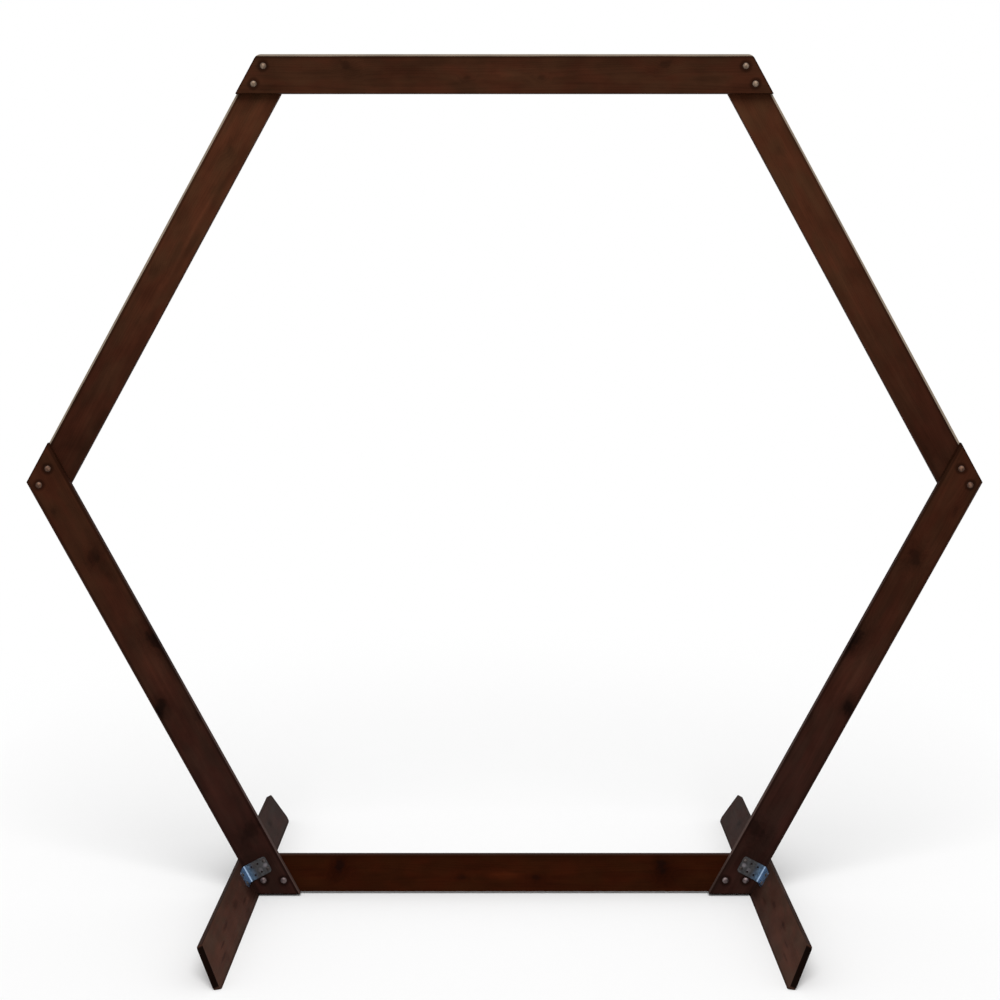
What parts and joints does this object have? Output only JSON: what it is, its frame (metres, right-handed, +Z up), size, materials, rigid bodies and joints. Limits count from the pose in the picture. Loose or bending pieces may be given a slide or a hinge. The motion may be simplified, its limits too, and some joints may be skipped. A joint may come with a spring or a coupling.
{
  "type": "hexagonal timber arch",
  "caption": "Free-standing hexagonal frame of dark-stained boards, lapped and bolted at the corners, on two leaning plank feet held by angle brackets.",
  "frame": {"origin": "on the ground, midway between the two feet and midway along them, in the plane where the boards lap", "axes": "+X across the arch to its right seen from the front, -Y out of the front face, +Z up"},
  "size_m": [2.26, 1.128, 2.002],
  "materials": {
    "stained_timber": "planed softwood with a dark brown stain, satin",
    "galvanised_steel": "folded galvanised sheet, dull with bright bends",
    "plated_steel": "zinc plated, slightly dulled"
  },
  "bodies": {
    "root": {"top_board": "stained_timber", "upper_left_board": "stained_timber", "upper_right_board": "stained_timber", "lower_left_board": "stained_timber", "lower_right_board": "stained_timber", "bottom_board": "stained_timber", "left_foot": "stained_timber", "right_foot": "stained_timber", "left_front_bracket": "galvanised_steel", "left_rear_bracket": "galvanised_steel", "right_front_bracket": "galvanised_steel", "right_rear_bracket": "galvanised_steel", "left_front_screws": "plated_steel", "left_rear_screws": "plated_steel", "right_front_screws": "plated_steel", "right_rear_screws": "plated_steel", "top_left_bolts": "plated_steel", "top_right_bolts": "plated_steel", "right_waist_bolts": "plated_steel", "bottom_right_bolts": "plated_steel", "bottom_left_bolts": "plated_steel", "left_waist_bolts": "plated_steel", "top_left_washers": "plated_steel", "top_right_washers": "plated_steel", "right_waist_washers": "plated_steel", "bottom_right_washers": "plated_steel", "bottom_left_washers": "plated_steel", "left_waist_washers": "plated_steel", "top_left_nuts": "plated_steel", "top_right_nuts": "plated_steel", "right_waist_nuts": "plated_steel", "bottom_right_nuts": "plated_steel", "bottom_left_nuts": "plated_steel", "left_waist_nuts": "plated_steel"}
  },
  "joints": []
}
